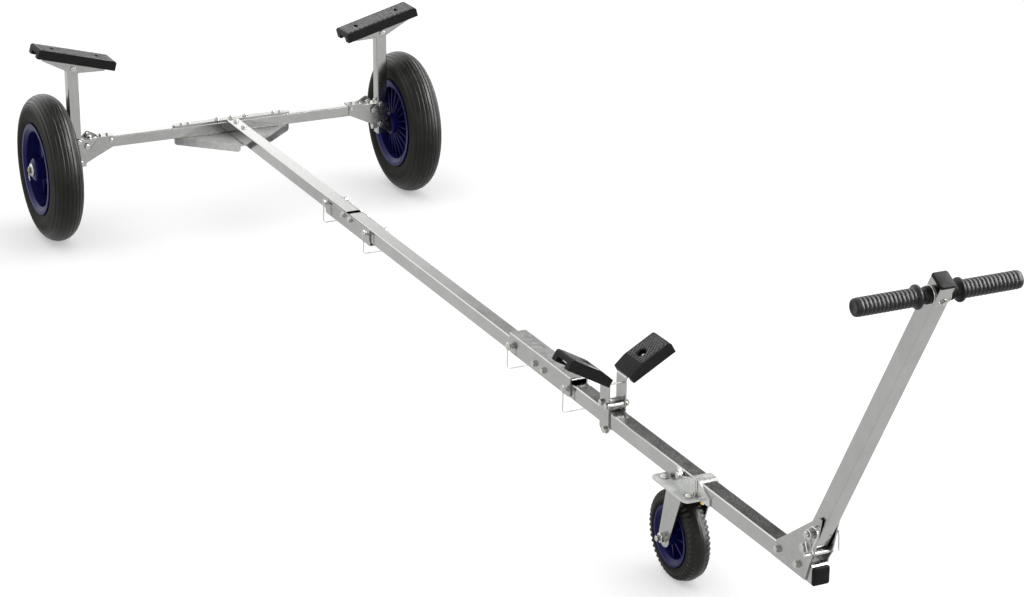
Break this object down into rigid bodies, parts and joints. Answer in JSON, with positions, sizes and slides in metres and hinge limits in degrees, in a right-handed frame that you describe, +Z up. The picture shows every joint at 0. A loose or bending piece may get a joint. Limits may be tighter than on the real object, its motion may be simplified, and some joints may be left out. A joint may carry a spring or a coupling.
{
  "type": "dinghy trolley",
  "caption": "Hand-launching trolley for a small dinghy: two large wheels on a cross beam with padded bunks, folding drawbar, bow V, jockey wheel and folding handle.",
  "frame": {"origin": "middle of the trolley's length and width, on the floor it stands on", "axes": "+X forward to the handle, +Y to the trolley's left, +Z up"},
  "size_m": [3.6399, 1.1566, 0.9198],
  "materials": {
    "aluminium_tube": "satin mill-finish aluminium tube",
    "galvanised_sheet": "bright zinc-galvanised folded sheet",
    "plated_steel": "zinc-plated bolts, pins and axles",
    "tyre_rubber": "near-black rubber with a soft sheen",
    "rim_plastic": "moulded navy-blue plastic",
    "pad_rubber": "moulded black rubber",
    "grip_rubber": "ribbed black rubber grip",
    "cap_plastic": "black moulded plastic"
  },
  "bodies": {
    "chassis": {"axle_beam_left": "aluminium_tube", "axle_beam_right": "aluminium_tube", "hub_bracket_left": "galvanised_sheet", "hub_bracket_right": "galvanised_sheet", "post_left": "aluminium_tube", "post_right": "aluminium_tube", "stub_axles": "plated_steel", "axle_washers": "plated_steel", "beam_plate": "galvanised_sheet", "gusset_plate": "galvanised_sheet", "drawbar_rear": "aluminium_tube", "bunk_pivots": "plated_steel"},
    "wheel_left": {"tyre_left": "tyre_rubber", "rim_left": "rim_plastic"},
    "wheel_right": {"tyre_right": "tyre_rubber", "rim_right": "rim_plastic"},
    "bunk_left": {"bunk_pad_left": "pad_rubber", "bunk_bracket_left": "galvanised_sheet"},
    "bunk_right": {"bunk_pad_right": "pad_rubber", "bunk_bracket_right": "galvanised_sheet"},
    "rear_splice": {"splice_channel_rear": "galvanised_sheet", "splice_bolts_rear": "plated_steel", "splice_pins_rear": "plated_steel"},
    "middle_bar": {"drawbar_middle": "aluminium_tube"},
    "front_splice": {"splice_channel_front": "galvanised_sheet", "splice_bolts_front": "plated_steel", "splice_pins_front": "plated_steel"},
    "front_bar": {"drawbar_front": "aluminium_tube", "drawbar_cap": "cap_plastic", "bow_strap_left": "galvanised_sheet", "bow_strap_right": "galvanised_sheet", "bow_bolts": "plated_steel", "bow_pad_left": "pad_rubber", "bow_pad_right": "pad_rubber", "castor_plate": "galvanised_sheet", "castor_saddle": "galvanised_sheet", "handle_foot_left": "galvanised_sheet", "handle_foot_right": "galvanised_sheet", "handle_pivot": "plated_steel", "handle_stop": "plated_steel", "handle_lock_pins": "plated_steel"},
    "castor": {"castor_fork": "galvanised_sheet", "castor_axle": "plated_steel"},
    "jockey_wheel": {"jockey_tyre": "tyre_rubber", "jockey_rim": "rim_plastic"},
    "handle": {"handle_post": "aluminium_tube", "handle_cap": "cap_plastic", "handle_bar": "aluminium_tube", "grips": "grip_rubber"}
  },
  "joints": [
    {"name": "wheel_left_spin", "type": "hinge", "parent": "chassis", "child": "wheel_left", "pos_m": [-1.62, 0.52, 0.2], "axis": [0, 1, 0], "continuous": true},
    {"name": "wheel_right_spin", "type": "hinge", "parent": "chassis", "child": "wheel_right", "pos_m": [-1.62, -0.52, 0.2], "axis": [0, 1, 0], "continuous": true},
    {"name": "bunk_left_tilt", "type": "hinge", "parent": "chassis", "child": "bunk_left", "pos_m": [-1.61782, 0.448, 0.47199], "axis": [1, 0, -0.008], "range_deg": [-30, 15]},
    {"name": "bunk_right_tilt", "type": "hinge", "parent": "chassis", "child": "bunk_right", "pos_m": [-1.61782, -0.448, 0.47199], "axis": [-1, 0, 0.008], "range_deg": [-30, 15]},
    {"name": "rear_splice_fold", "type": "hinge", "parent": "chassis", "child": "rear_splice", "pos_m": [-0.74951, 0, 0.25703], "axis": [0, -1, 0], "range_deg": [0, 90]},
    {"name": "middle_bar_fold", "type": "hinge", "parent": "rear_splice", "child": "middle_bar", "pos_m": [-0.70551, 0, 0.25668], "axis": [0, -1, 0], "range_deg": [0, 90]},
    {"name": "front_splice_fold", "type": "hinge", "parent": "middle_bar", "child": "front_splice", "pos_m": [0.33642, 0, 0.24434], "axis": [0, 1, 0], "range_deg": [0, 90]},
    {"name": "front_bar_fold", "type": "hinge", "parent": "front_splice", "child": "front_bar", "pos_m": [0.38042, 0, 0.24399], "axis": [0, 1, 0], "range_deg": [0, 65]},
    {"name": "castor_swivel", "type": "hinge", "parent": "front_bar", "child": "castor", "pos_m": [0.99021, 0, 0.21511], "axis": [0.008, 0, 1], "continuous": true},
    {"name": "jockey_spin", "type": "hinge", "parent": "castor", "child": "jockey_wheel", "pos_m": [0.95325, 0, 0.096], "axis": [0, 1, 0], "continuous": true},
    {"name": "handle_fold", "type": "hinge", "parent": "front_bar", "child": "handle", "pos_m": [1.44876, 0, 0.28144], "axis": [0, -1, 0], "range_deg": [0, 118]}
  ]
}
